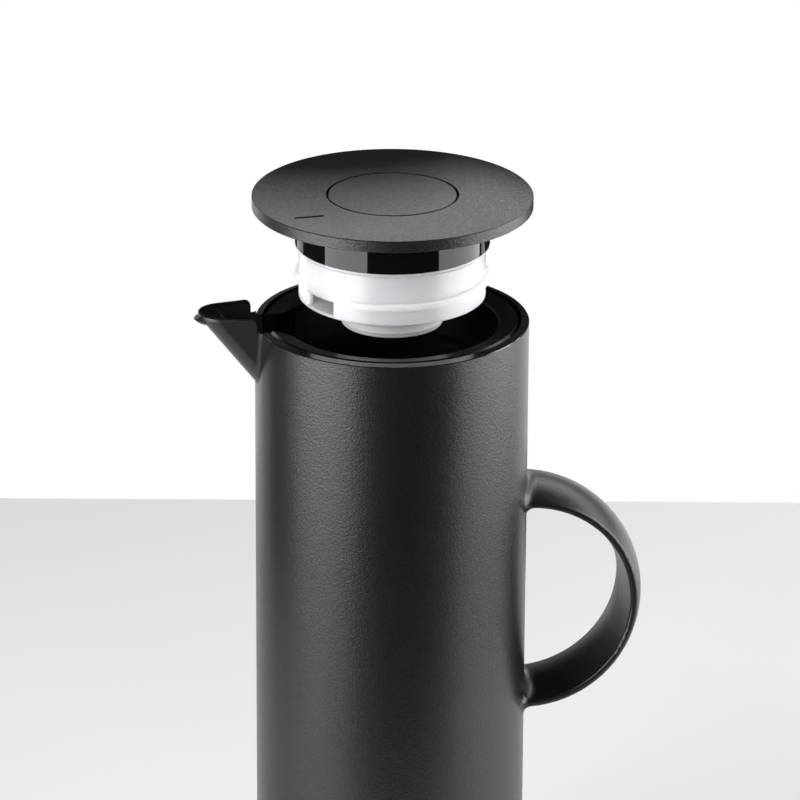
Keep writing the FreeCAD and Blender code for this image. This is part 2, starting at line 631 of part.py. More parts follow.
def valve_poppet():
    """Disc that closes the plug from below, on a hub."""
    top, low, hub = POPPET_TOP, POPPET_TOP - POPPET_PLATE, POPPET_TOP + POPPET_HUB
    step, r, tip = SEAT_Z + STEM_STEP, STEM_R + 0.05, STEM_TIP_R + 0.05
    items = [(0, low), (POPPET_R, low), (POPPET_R, top), (POPPET_HUB_R, top), (POPPET_HUB_R, hub), (r, hub),
             (r, step), (tip, step), (tip, top - 0.2), (0, top - 0.2)]
    return lathe(items, LID_Z)


def wire_section(turn, z, slope):
    """Many-sided section of the spring's wire, square to the wire, after so many turns."""
    out = V(math.cos(2 * math.pi * turn), math.sin(2 * math.pi * turn), 0)
    along = V(-out.y * math.cos(slope), out.x * math.cos(slope), math.sin(slope))
    across = out.cross(along)
    centre = out * SPRING_R + UP * z
    corners = []
    for side in range(SPRING_SIDES):
        a = 2 * math.pi * side / SPRING_SIDES
        corners.append(centre + (out * math.cos(a) + across * math.sin(a)) * SPRING_WIRE_R)
    return Part.makePolygon(corners + corners[:1])


def return_spring():
    """Compression spring between the guide's floor and the button."""
    low, high = LID_Z + GUIDE_FLOOR_TOP + SPRING_WIRE_R + 0.05, LID_Z + BUTTON_UNDER - SPRING_WIRE_R - 0.05
    pitch = (high - low) / SPRING_TURNS
    slope = math.atan2(pitch, 2 * math.pi * SPRING_R)
    turns = [step / SPRING_STEPS for step in range(SPRING_TURNS * SPRING_STEPS + 1)]
    return Part.makeLoft([wire_section(turn, low + pitch * turn, slope) for turn in turns], True, False)


cushion, nib_cap, foot_pad = base_pieces()
shapes = {
    "body_shell": body_shell(),
    "pouring_collar": pouring_collar(),
    "throat_ring": throat_ring(),
    "collar_seal": ring(NECK_R + 0.2, LIP_R - 0.2, RIM_Z + LIP_TOP, RIM_Z + THROAT_END),
    "liner_inner_flask": liner_inner_flask(),
    "liner_outer_flask": liner_outer_flask(),
    "liner_spacers": liner_spacers(),
    "liner_nib_cap": nib_cap,
    "shoulder_ring": ring(LINER_R + 0.05, BORE_R - 0.05, RIM_Z + CENTRING_LOW, RIM_Z + CENTRING_HIGH),
    "liner_cushion": cushion,
    "base_cap": base_cap(),
    "foot_pad": foot_pad,
    "neck_seal": neck_seal(),
    "lid_cover": lid_cover(),
    "lid_skirt": lid_skirt(),
    "stopper_body": stopper_body(),
    "button_guide": button_guide(),
    "stem_seal": Part.makeTorus((STEM_R + GLAND_R) / 2 + 0.02, 0.85, V(0, 0, LID_Z + CLIP_Z + 2.3)),
    "push_button": push_button(),
    "valve_stem": valve_stem(),
    "stem_clip": stem_clip(),
    "valve_poppet": valve_poppet(),
    "valve_seal": ring(SEAT_R - 1.8, SEAT_R + 1.9, LID_Z + POPPET_TOP, LID_Z + SEAT_Z - 0.1),
    "return_spring": return_spring(),
}

os.makedirs("parts", exist_ok=True)
for node, shape in shapes.items():
    shape.exportStep("parts/" + node + ".step")
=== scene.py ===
"""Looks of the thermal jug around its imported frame: metres, +Z up, handle to +X, spout to -X."""

from __future__ import annotations

import json
import logging
import math
from dataclasses import dataclass, field
from enum import Enum

import bpy
from mathutils import Matrix, Vector

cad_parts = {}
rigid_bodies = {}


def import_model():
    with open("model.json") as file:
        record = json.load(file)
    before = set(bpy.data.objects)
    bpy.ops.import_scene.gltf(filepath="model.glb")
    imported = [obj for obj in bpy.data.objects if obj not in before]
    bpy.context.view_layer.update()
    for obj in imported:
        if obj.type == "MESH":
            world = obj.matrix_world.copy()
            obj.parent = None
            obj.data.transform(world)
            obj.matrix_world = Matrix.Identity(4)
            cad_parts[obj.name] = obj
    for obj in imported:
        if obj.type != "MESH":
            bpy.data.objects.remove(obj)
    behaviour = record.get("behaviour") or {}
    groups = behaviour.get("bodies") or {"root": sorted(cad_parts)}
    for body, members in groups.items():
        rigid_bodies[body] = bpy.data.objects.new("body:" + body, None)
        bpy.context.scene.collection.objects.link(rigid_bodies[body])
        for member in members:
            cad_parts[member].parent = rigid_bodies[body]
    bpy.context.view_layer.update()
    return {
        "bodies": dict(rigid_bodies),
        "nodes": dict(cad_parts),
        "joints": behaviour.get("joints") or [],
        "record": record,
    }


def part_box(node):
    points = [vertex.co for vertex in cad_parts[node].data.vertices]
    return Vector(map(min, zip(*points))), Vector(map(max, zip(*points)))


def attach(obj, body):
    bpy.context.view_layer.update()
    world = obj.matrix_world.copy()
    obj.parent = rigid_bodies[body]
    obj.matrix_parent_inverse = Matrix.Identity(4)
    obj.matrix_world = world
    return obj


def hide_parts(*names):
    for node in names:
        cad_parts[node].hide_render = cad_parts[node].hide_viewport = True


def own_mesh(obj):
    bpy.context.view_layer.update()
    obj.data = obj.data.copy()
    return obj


LOG = logging.getLogger("thermal_jug")
MM = 0.001
WELD = 0.002 * MM
UPRIGHT = math.radians(90.0)
WHITE = (1.0, 1.0, 1.0, 1.0)
Colour = tuple[float, float, float]


class Channel:
    """A shader socket that takes part in Python arithmetic; every operator adds one Math node."""

    def __init__(self, graph: ShaderGraph, socket: bpy.types.NodeSocket) -> None:
        """Keeps the graph that new nodes go into and the socket that carries the value."""
        self.graph = graph
        self.socket = socket

    def _math(self, operation: str, first: Channel | float, second: Channel | float) -> Channel:
        """Adds a Math node.

        Args:
            operation: Blender's name of the operation.
            first: left operand.
            second: right operand.

        Returns:
            The result as a new channel.
        """
        return self.graph.add("ShaderNodeMath", {"operation": operation}, {0: first, 1: second})

    def __add__(self, other: Channel | float) -> Channel:
        """Sum."""
        return self._math("ADD", self, other)

    def __radd__(self, other: Channel | float) -> Channel:
        """Sum with the number first."""
        return self._math("ADD", other, self)

    def __sub__(self, other: Channel | float) -> Channel:
        """Difference."""
        return self._math("SUBTRACT", self, other)

    def __rsub__(self, other: Channel | float) -> Channel:
        """Difference with the number first."""
        return self._math("SUBTRACT", other, self)

    def __mul__(self, other: Channel | float) -> Channel:
        """Product."""
        return self._math("MULTIPLY", self, other)

    def __rmul__(self, other: Channel | float) -> Channel:
        """Product with the number first."""
        return self._math("MULTIPLY", other, self)

    def __gt__(self, other: Channel | float) -> Channel:
        """1 where it is the greater, 0 elsewhere."""
        return self._math("GREATER_THAN", self, other)

    def __lt__(self, other: Channel | float) -> Channel:
        """1 where it is the smaller, 0 elsewhere."""
        return self._math("LESS_THAN", self, other)

    def swing(self, amount: float) -> Channel:
        """Noise from 0 to 1 made to swing about zero, by the amount from end to end."""
        return (self - 0.5) * amount


class ShaderGraph:
    """A node tree that finishes are written into."""

    MIX_SHARE, MIX_LOW, MIX_HIGH, MIX_COLOUR = 0, 6, 7, 2

    def __init__(self, tree: bpy.types.NodeTree) -> None:
        """Empties the tree."""
        self.tree = tree
        tree.nodes.clear()

    def node(
        self, kind: str, settings: dict | None = None, inputs: dict | None = None
    ) -> bpy.types.Node:
        """Adds any node.

        Args:
            kind: Blender's type name of the node.
            settings: attributes that are set first.
            inputs: sockets by name or place, each a channel, a number, a colour or a vector.

        Returns:
            The new node.
        """
        made = self.tree.nodes.new(kind)
        for key, value in (settings or {}).items():
            setattr(made, key, value)
        for key, value in (inputs or {}).items():
            if isinstance(value, Channel):
                self.tree.links.new(value.socket, made.inputs[key])
            else:
                made.inputs[key].default_value = value
        return made

    def add(
        self, kind: str, settings: dict | None = None, inputs: dict | None = None, out: int | str = 0
    ) -> Channel:
        """Adds any node and gives one of its outputs.

        Args:
            kind: Blender's type name of the node.
            settings: attributes that are set first.
            inputs: sockets by name or place.
            out: name or place of the output.

        Returns:
            That output as a channel.
        """
        return Channel(self, self.node(kind, settings, inputs).outputs[out])

    def place(self) -> Channel:
        """Object coordinates, in metres."""
        return self.add("ShaderNodeTexCoord", out="Object")

    def height(self) -> Channel:
        """Height above the table, in metres."""
        return self.add("ShaderNodeSeparateXYZ", {}, {0: self.place()}, "Z")

    def radius(self) -> Channel:
        """Measures how far a point is from the jug's axis.

        Returns:
            The distance in metres.
        """
        level = {0: self.place(), 1: (1, 1, 0)}
        flat = self.add("ShaderNodeVectorMath", {"operation": "MULTIPLY"}, level)
        return self.add("ShaderNodeVectorMath", {"operation": "LENGTH"}, {0: flat}, "Value")

    def noise(
        self, where: Channel, per_metre: float, detail: float = 2.0, rough: float = 0.5
    ) -> Channel:
        """Cloudy noise from 0 to 1.

        Args:
            where: coordinates.
            per_metre: how many clouds fit in a metre.
            detail: number of finer layers.
            rough: weight of the finer layers.

        Returns:
            The noise value.
        """
        wanted = {"Vector": where, "Scale": per_metre, "Detail": detail, "Roughness": rough}
        return self.add("ShaderNodeTexNoise", {}, wanted, "Fac")

    def pits(self, where: Channel, per_metre: float, softness: float = 0.6) -> Channel:
        """Rounded cells whose value is the distance from their middle."""
        wanted = {"Vector": where, "Scale": per_metre, "Smoothness": softness}
        return self.add("ShaderNodeTexVoronoi", {"feature": "SMOOTH_F1"}, wanted, "Distance")

    def blend(self, share: Channel, low: Colour, high: Colour) -> Channel:
        """Colour between two colours."""
        wanted = {self.MIX_SHARE: share, self.MIX_LOW: (*low, 1.0), self.MIX_HIGH: (*high, 1.0)}
        return self.add("ShaderNodeMix", {"data_type": "RGBA"}, wanted, self.MIX_COLOUR)

    def bump(self, height: Channel, depth: float) -> Channel:
        """Normal from a height of 0 to 1, where 1 stands above 0 by the depth in metres."""
        wanted = {"Height": height, "Distance": depth, "Strength": 1.0}
        return self.add("ShaderNodeBump", {}, wanted)


@dataclass(frozen=True)
class Finish:
    """What all finishes share: a name, a colour, a gloss and a refraction."""

    name: str
    colour: Colour
    roughness: float
    ior: float = 1.56

    def material(self) -> bpy.types.Material:
        """Makes the material.

        Returns:
            A node material with one Principled shader.
        """
        made = bpy.data.materials.new(self.name)
        made.use_nodes = True
        made.diffuse_color = (*self.colour, 1.0)
        graph = ShaderGraph(made.node_tree)
        shader = graph.node("ShaderNodeBsdfPrincipled", {}, self.constants())
        for socket, channel in self.varying(graph).items():
            graph.tree.links.new(channel.socket, shader.inputs[socket])
        surface = Channel(graph, shader.outputs[0])
        graph.node("ShaderNodeOutputMaterial", {}, {"Surface": surface})
        return made

    def constants(self) -> dict:
        """Values that are the same all over the surface."""
        return {"Base Color": (*self.colour, 1.0), "Roughness": self.roughness, "IOR": self.ior}

    def varying(self, graph: ShaderGraph) -> dict[str, Channel]:
        """Channels that change over the surface, by socket name."""
        raise NotImplementedError

    def shades(self, graph: ShaderGraph, share: Channel, spread: float) -> Channel:
        """Base colour that drifts a little darker and lighter.

        Args:
            graph: the finish's graph.
            share: value from 0 to 1.
            spread: how far each way, as a share of the colour.

        Returns:
            The colour.
        """
        low = tuple(c * (1.0 - spread) for c in self.colour)
        high = tuple(c * (1.0 + spread) for c in self.colour)
        return graph.blend(share, low, high)


@dataclass(frozen=True)
class GrainedPlastic(Finish):
    """Matte moulding with a fine spark-eroded grain."""

    grain_per_metre: float = 1500.0
    grain_depth: float = 0.030 * MM
    grain_weight: float = 0.65
    grain_tint: float = 0.5
    pits_per_grain: float = 0.62
    speckle: float = 0.08
    cloud_per_metre: float = 22.0
    cloud_gloss: float = 0.06
    drift: float = 0.25

    def varying(self, graph: ShaderGraph) -> dict[str, Channel]:
        """Grain in the normal, and slow drifts in colour and gloss.

        Args:
            graph: the finish's graph.

        Returns:
            Channels by socket name.
        """
        where = graph.place()
        clouds = graph.noise(where, self.cloud_per_metre, detail=3.0)
        grain = graph.noise(where, self.grain_per_metre, detail=2.0, rough=0.6)
        pits = graph.pits(where, self.grain_per_metre * self.pits_per_grain)
        tint = clouds * (1.0 - self.grain_tint) + grain * self.grain_tint
        return {
            "Base Color": self.shades(graph, tint, self.drift),
            "Roughness": self.roughness + clouds.swing(self.cloud_gloss) + grain.swing(self.speckle),
            "Normal": graph.bump(self.relief(graph, grain, pits), self.grain_depth),
        }

    def relief(self, graph: ShaderGraph, grain: Channel, pits: Channel) -> Channel:
        """Height of the grain.

        Args:
            graph: the finish's graph.
            grain: fine noise.
            pits: small round hollows.

        Returns:
            Height from 0 to 1.
        """
        return grain * self.grain_weight + pits * (1.0 - self.grain_weight)


@dataclass(frozen=True)
class ShellPlastic(GrainedPlastic):
    """Wall of the jug: grained all over, with a polished band on top of the rim."""

    rim_height: float = 297.2 * MM
    rim_radius: float = 53.95 * MM
    rim_gloss: float = 0.14
    coat_ior: float = 1.5

    def constants(self) -> dict:
        """The rim's gloss lies on top as a clear coat."""
        coat = {"Coat Roughness": self.rim_gloss, "Coat IOR": self.coat_ior}
        return {**super().constants(), **coat}

    def band(self, graph: ShaderGraph) -> Channel:
        """Where the rim is polished: 1 on its upper face, 0 elsewhere."""
        return (graph.height() > self.rim_height) * (graph.radius() < self.rim_radius)

    def relief(self, graph: ShaderGraph, grain: Channel, pits: Channel) -> Channel:
        """The rim's upper face has no grain."""
        return super().relief(graph, grain, pits) * (1 - self.band(graph))

    def varying(self, graph: ShaderGraph) -> dict[str, Channel]:
        """Grain that gives way to polish on the rim's upper face.

        Args:
            graph: the finish's graph.

        Returns:
            Channels by socket name.
        """
        found = super().varying(graph)
        band = self.band(graph)
        found["Roughness"] = found["Roughness"] * (1 - band) + band * self.rim_gloss
        found["Coat Weight"] = band
        return found


@dataclass(frozen=True)
class PolishedPlastic(Finish):
    """Glossy moulding with a barely visible swell and faint rub marks."""

    swell_per_metre: float = 90.0
    swell_depth: float = 0.002 * MM
    rub_per_metre: float = 420.0
    rub_gloss: float = 0.05
    drift: float = 0.15

    def varying(self, graph: ShaderGraph) -> dict[str, Channel]:
        """Swell in the normal, rub marks in colour and gloss.

        Args:
            graph: the finish's graph.

        Returns:
            Channels by socket name.
        """
        where = graph.place()
        swell = graph.noise(where, self.swell_per_metre, detail=1.0)
        rubs = graph.noise(where, self.rub_per_metre, detail=4.0, rough=0.7)
        return {
            "Base Color": self.shades(graph, rubs, self.drift),
            "Roughness": self.roughness + rubs.swing(self.rub_gloss),
            "Normal": graph.bump(swell, self.swell_depth),
        }


@dataclass(frozen=True)
class MilkyResin(PolishedPlastic):
    """White moulding that scatters the light inside its walls."""

    drift: float = 0.015
    depth: float = 20.0 * MM
    reach: Colour = (1.0, 1.0, 0.9)

    def constants(self) -> dict:
        """Light wanders some millimetres below the surface, blue light a little less far."""
        scatter = {"Subsurface Scale": self.depth, "Subsurface Radius": self.reach}
        return {**super().constants(), "Subsurface Weight": 1.0, **scatter}


@dataclass(frozen=True)
class CollarPlastic(PolishedPlastic):
    """Insert that is polished round the mouth and eroded matte down in its basin."""

    matte_below: float = 291.0 * MM
    fade: float = 5.0 * MM
    matte: float = 0.34

    def varying(self, graph: ShaderGraph) -> dict[str, Channel]:
        """Polish that fades into the matte basin.

        Args:
            graph: the finish's graph.

        Returns:
            Channels by socket name.
        """
        found = super().varying(graph)
        clamped = {"operation": "DIVIDE", "use_clamp": True}
        above = graph.height() - self.matte_below
        polish = graph.add("ShaderNodeMath", clamped, {0: above, 1: self.fade})
        found["Roughness"] = found["Roughness"] * polish + (1 - polish) * self.matte
        return found


@dataclass(frozen=True)
class SoftElastomer(Finish):
    """Silicone or rubber with a dull, slightly uneven skin."""

    skin_per_metre: float = 1100.0
    skin_depth: float = 0.02 * MM
    skin_gloss: float = 0.16
    cloud_per_metre: float = 60.0
    drift: float = 0.08

    def varying(self, graph: ShaderGraph) -> dict[str, Channel]:
        """Uneven skin and slow drifts in colour.

        Args:
            graph: the finish's graph.

        Returns:
            Channels by socket name.
        """
        where = graph.place()
        clouds = graph.noise(where, self.cloud_per_metre, detail=3.0)
        skin = graph.noise(where, self.skin_per_metre, detail=3.0, rough=0.6)
        return {
            "Base Color": self.shades(graph, clouds, self.drift),
            "Roughness": self.roughness + skin.swing(self.skin_gloss),
            "Normal": graph.bump(skin, self.skin_depth),
        }


@dataclass(frozen=True)
class BlownGlass(Finish):
    """Clear blown glass with slow waves."""

    ior: float = 1.47
    wave_per_metre: float = 30.0
    wave_depth: float = 0.15 * MM
    haze: float = 0.02

    def constants(self) -> dict:
        """Glass lets the light through."""
        return {**super().constants(), "Transmission Weight": 1.0}

    def varying(self, graph: ShaderGraph) -> dict[str, Channel]:
        """Waves from blowing, and a thin film of haze.

        Args:
            graph: the finish's graph.

        Returns:
            Channels by socket name.
        """
        waves = graph.noise(graph.place(), self.wave_per_metre, detail=2.0)
        return {
            "Roughness": self.roughness + waves * self.haze,
            "Normal": graph.bump(waves, self.wave_depth),
        }


@dataclass(frozen=True)
class BrightMetal(Finish):
    """Silvering on glass, or drawn steel wire."""

    grain_per_metre: float = 30.0
    grain_depth: float = 0.15 * MM
    tarnish_per_metre: float = 14.0
    tarnish_gloss: float = 0.08
    drift: float = 0.12

    def constants(self) -> dict:
        """Metal all over."""
        return {**super().constants(), "Metallic": 1.0}

    def varying(self, graph: ShaderGraph) -> dict[str, Channel]:
        """Waves or drawing marks, and patches of tarnish.

        Args:
            graph: the finish's graph.

        Returns:
            Channels by socket name.
        """
        where = graph.place()
        waves = graph.noise(where, self.grain_per_metre, detail=2.0)
        tarnish = graph.noise(where, self.tarnish_per_metre, detail=4.0, rough=0.6)
        return {
            "Base Color": self.shades(graph, tarnish, self.drift),
            "Roughness": self.roughness + tarnish * self.tarnish_gloss,
            "Normal": graph.bump(waves, self.grain_depth),
        }


FINISHES: tuple[Finish, ...] = (
    ShellPlastic(
        "shell_black", (0.0040, 0.0040, 0.0042), 0.33,
        grain_per_metre=1450.0, grain_depth=0.090 * MM, speckle=0.12,
    ),
    GrainedPlastic(
        "lid_black", (0.0060, 0.0060, 0.0063), 0.37,
        grain_per_metre=1250.0, grain_depth=0.150 * MM, speckle=0.45,
    ),
    GrainedPlastic(
        "button_black", (0.0058, 0.0058, 0.0060), 0.37,
        grain_per_metre=1250.0, grain_depth=0.140 * MM, speckle=0.45,
    ),
    GrainedPlastic("base_black", (0.010, 0.010, 0.0105), 0.50, grain_per_metre=900.0),
    MilkyResin("guide_white", (0.80, 0.80, 0.79), 0.32),
    CollarPlastic("collar_black", (0.0045, 0.0045, 0.0048), 0.22, ior=1.28),
    PolishedPlastic("skirt_black", (0.0030, 0.0030, 0.0034), 0.045, ior=1.36),
    MilkyResin("stopper_white", (0.85, 0.85, 0.835), 0.24),
    MilkyResin("valve_white", (0.78, 0.78, 0.77), 0.26),
    SoftElastomer("silicone_grey", (0.56, 0.565, 0.57), 0.46),
    SoftElastomer("rubber_black", (0.016, 0.016, 0.016), 0.62, skin_depth=0.04 * MM),
    SoftElastomer("spacer_pad", (0.66, 0.63, 0.57), 0.7, skin_depth=0.05 * MM),
    BlownGlass("glass_clear", (0.93, 0.95, 0.955), 0.0),
    BrightMetal("glass_silvered", (0.80, 0.80, 0.815), 0.04),
    BrightMetal(
        "steel", (0.58, 0.58, 0.59), 0.22, grain_per_metre=2400.0, grain_depth=0.004 * MM
    ),
)
CARD_BLACK = SoftElastomer("card_black", (0.016, 0.016, 0.016), 0.62, skin_depth=0.04 * MM)


def face_camera(piece: bpy.types.Object, view_turn: float) -> None:
    """Applies a stage piece's place and size, then turns it about the jug's axis.

    Args:
        piece: the selected piece, placed as for a camera straight in front.
        view_turn: the camera's azimuth in degrees.
    """
    bpy.ops.object.transform_apply(location=True, rotation=True, scale=True)
    piece.rotation_euler = (0.0, 0.0, math.radians(view_turn))
    bpy.ops.object.transform_apply(location=False, rotation=True, scale=False)


@dataclass
class ShadeCard:
    """Black oval card behind the jug that keeps the back panels out of its gloss.

    Lengths are in metres, as the camera sees them from the jug's axis.
    """

    name: str
    left: float
    right: float
    behind: float
    low: float
    high: float
    sides: int = 48

    def build(self, view_turn: float, finish: bpy.types.Material) -> bpy.types.Object:
        """Adds the card, square to the camera.

        Args:
            view_turn: the camera's azimuth in degrees.
            finish: the card's material.

        Returns:
            The card, which the camera doesn't see.
        """
        bpy.ops.object.select_all(action="DESELECT")
        bpy.ops.mesh.primitive_circle_add(vertices=self.sides, radius=0.5, fill_type="NGON")
        card = bpy.context.active_object
        card.name = self.name
        card.scale = (self.right - self.left, self.high - self.low, 1.0)
        card.rotation_euler = (UPRIGHT, 0.0, 0.0)
        card.location = ((self.left + self.right) / 2, self.behind, (self.high + self.low) / 2)
        face_camera(card, view_turn)
        card.visible_camera = False
        card.data.materials.append(finish)
        return card


@dataclass
class SoftBox:
    """A flat lamp of even brightness: turn in degrees, lengths in metres."""

    name: str
    turn: float
    distance: float
    wide: float
    low: float
    high: float
    radiance: float

    def build(self, view_turn: float) -> bpy.types.Object:
        """Adds the lamp, upright and facing the jug's axis.

        Args:
            view_turn: the camera's azimuth in degrees; turn is counted from it, to the right.

        Returns:
            The lamp.
        """
        angle = math.radians(view_turn + self.turn)
        away = Vector((math.sin(angle), -math.cos(angle), 0.0))
        tall = self.high - self.low
        spot = away * self.distance + Vector((0.0, 0.0, (self.high + self.low) / 2))
        bpy.ops.object.light_add(type="AREA", location=spot)
        lamp = bpy.context.active_object
        lamp.name = self.name
        lamp.rotation_euler = away.to_track_quat("Z", "Y").to_euler()
        lamp.data.shape = "RECTANGLE"
        lamp.data.size = self.wide
        lamp.data.size_y = tall
        lamp.data.energy = self.radiance * math.pi * self.wide * tall
        lamp.visible_camera = False
        return lamp


@dataclass
class PhotoCamera:
    """Camera at the photograph's viewing angle: degrees, metres, and millimetres for the lens."""

    azimuth: float = -7.5
    elevation: float = 21.431
    roll: float = 0.314
    distance: float = 2.1468
    lens: float = 244.25
    sensor: float = 36.0
    near: float = 0.05
    far: float = 50.0
    aim: tuple[float, float, float] = (0.003296, -0.000434, 0.263)

    def build(self) -> bpy.types.Object:
        """Adds the camera and makes it the scene's.

        Returns:
            The camera.
        """
        a, e, r = (math.radians(v) for v in (self.azimuth, self.elevation, self.roll))
        back = Vector((math.sin(a) * math.cos(e), -math.cos(a) * math.cos(e), math.sin(e)))
        right = Vector((0.0, 0.0, 1.0)).cross(back).normalized()
        up = back.cross(right)
        x_axis = right * math.cos(r) + up * math.sin(r)
        y_axis = up * math.cos(r) - right * math.sin(r)
        bpy.ops.object.camera_add()
        camera = bpy.context.active_object
        camera.name = "photo_camera"
        turn = Matrix((x_axis, y_axis, back)).transposed().to_4x4()
        camera.matrix_world = Matrix.Translation(Vector(self.aim) + back * self.distance) @ turn
        camera.data.lens = self.lens
        camera.data.sensor_width = self.sensor
        camera.data.clip_start = self.near
        camera.data.clip_end = self.far
        bpy.context.scene.camera = camera
        return camera


@dataclass
class Studio:
    """Table, lamps, shade cards and surroundings, in metres."""

    view_turn: float
    table_back: float = 0.533
    table_front: float = 0.27
    table_half: float = 0.42
    table_thick: float = 0.03
    table_edge: float = 0.002
    table_edge_steps: int = 3
    table_shade: float = 0.76
    table_drift: float = 0.01
    table_cloud_per_metre: float = 9.0
    table_roughness: float = 0.6
    ambient: float = 0.03
    cards: list[ShadeCard] = field(default_factory=lambda: [
        ShadeCard("rim_card", left=-0.085, right=0.085, behind=0.080, low=0.276, high=0.330),
        ShadeCard("right_rim_card", left=0.008, right=0.152, behind=0.080, low=0.284, high=0.384),
        ShadeCard("lid_card", left=-0.130, right=0.050, behind=0.110, low=0.330, high=0.402),
        ShadeCard("handle_card", left=-0.030, right=0.092, behind=0.085, low=0.142, high=0.223),
    ])
    boxes: list[SoftBox] = field(default_factory=lambda: [
        SoftBox(
            "left_soft_box", turn=-57.0, distance=1.05, wide=1.12, low=-0.10, high=1.15, radiance=6.4
        ),
        SoftBox(
            "right_soft_box", turn=90.0, distance=1.05, wide=1.42, low=-0.12, high=1.15, radiance=5.1
        ),
        SoftBox(
            "back_panel_low", turn=180.0, distance=1.60, wide=3.80, low=-1.10, high=0.30, radiance=1.3
        ),
        SoftBox(
            "back_panel_high", turn=180.0, distance=1.60, wide=3.80, low=0.90, high=1.40, radiance=3.2
        ),
    ])

    def build(self) -> None:
        """Makes the surroundings, the lamps, the table and the cards."""
        self.surround()
        for box in self.boxes:
            box.build(self.view_turn)
            LOG.info("lamp %s", box.name)
        black = CARD_BLACK.material()
        self.table()
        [card.build(self.view_turn, black) for card in self.cards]

    def surround(self) -> None:
        """White for the camera, nearly dark for everything else."""
        world = bpy.data.worlds.new("studio_surround")
        bpy.context.scene.world = world
        world.use_nodes = True
        graph = ShaderGraph(world.node_tree)
        seen = graph.add("ShaderNodeLightPath", out="Is Camera Ray")
        dim = graph.add("ShaderNodeBackground", {}, {"Color": WHITE, "Strength": self.ambient})
        white = graph.add("ShaderNodeBackground", {}, {"Color": WHITE, "Strength": 1.0})
        mixed = graph.add("ShaderNodeMixShader", {}, {0: seen, 1: dim, 2: white})
        graph.node("ShaderNodeOutputWorld", {}, {"Surface": mixed})

    def table(self) -> bpy.types.Object:
        """Table top with a softened edge, square to the camera.

        Returns:
            The table.
        """
        bpy.ops.object.select_all(action="DESELECT")
        bpy.ops.mesh.primitive_cube_add(size=1.0)
        table = bpy.context.active_object
        table.name = "table_top"
        table.scale = (2 * self.table_half, self.table_back + self.table_front, self.table_thick)
        table.location = (0.0, (self.table_back - self.table_front) / 2, -self.table_thick / 2)
        face_camera(table, self.view_turn)
        edge = table.modifiers.new("softened_edge", "BEVEL")
        edge.width = self.table_edge
        edge.segments = self.table_edge_steps
        bpy.ops.object.modifier_apply(modifier=edge.name)
        table.data.materials.append(self.laminate())
        return table

    def laminate(self) -> bpy.types.Material:
        """Pale table surface.

        Returns:
            The material.
        """
        made = bpy.data.materials.new("pale_laminate")
        made.use_nodes = True
        graph = ShaderGraph(made.node_tree)
        clouds = graph.noise(graph.place(), self.table_cloud_per_metre, detail=3.0)
        low, high = self.table_shade - self.table_drift, self.table_shade + self.table_drift
        look = {"Base Color": graph.blend(clouds, (low,) * 3, (high,) * 3)}
        look["Roughness"] = self.table_roughness
        surface = graph.add("ShaderNodeBsdfPrincipled", {}, look)
        graph.node("ShaderNodeOutputMaterial", {}, {"Surface": surface})
        return made


class Body(Enum):
    """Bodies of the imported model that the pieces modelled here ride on."""

    JUG = "jug"
    PLUG = "plug"
    BUTTON = "button"


@dataclass
class Turning:
    """A profile, in millimetres of radius and height, turned about the jug's axis.

    It is closed to a ring, unless it starts and ends on the axis.
    """

    name: str
    profile: list[tuple[float, float]]
    steps: int = 128
    rounding: float = 0.12
    rounding_steps: int = 3
    corner_degrees: float = 28.0
    smooth_degrees: float = 40.0

    def build(self) -> bpy.types.Object:
        """Draws the profile from one vertex, spins it and rounds its sharp rings.

        Returns:
            The turned piece.
        """
        bpy.ops.object.select_all(action="DESELECT")
        bpy.ops.mesh.primitive_plane_add(size=MM)
        piece = bpy.context.active_object
        piece.name = self.name
        bpy.ops.object.mode_set(mode="EDIT")
        bpy.ops.mesh.select_all(action="SELECT")
        bpy.ops.mesh.merge(type="CENTER")
        here = Vector((self.profile[0][0], 0.0, self.profile[0][1])) * MM
        bpy.ops.transform.translate(value=here)
        closing = self.profile[:1] if self.profile[0][0] > 0 else []
        for radius, height in self.profile[1:] + closing:
            there = Vector((radius, 0.0, height)) * MM
            bpy.ops.mesh.extrude_vertices_move(TRANSFORM_OT_translate={"value": there - here})
            here = there
        bpy.ops.mesh.select_all(action="SELECT")
        bpy.ops.mesh.remove_doubles(threshold=WELD)
        bpy.ops.mesh.spin(steps=self.steps, angle=2 * math.pi, center=(0, 0, 0), axis=(0, 0, 1))
        bpy.ops.mesh.select_all(action="SELECT")
        bpy.ops.mesh.remove_doubles(threshold=WELD)
        bpy.ops.mesh.normals_make_consistent(inside=False)
        bpy.ops.object.mode_set(mode="OBJECT")
        self._round(piece)
        return piece

    def _round(self, piece: bpy.types.Object) -> None:
        """Rounds the rings where the profile has a corner, and shades the rest smooth.

        Args:
            piece: the turned piece.
        """
        edge = piece.modifiers.new("rounded_rings", "BEVEL")
        edge.width = self.rounding * MM
        edge.segments = self.rounding_steps
        edge.limit_method = "ANGLE"
        edge.angle_limit = math.radians(self.corner_degrees)
        bpy.ops.object.modifier_apply(modifier=edge.name)
        bpy.ops.object.shade_smooth_by_angle(angle=math.radians(self.smooth_degrees))


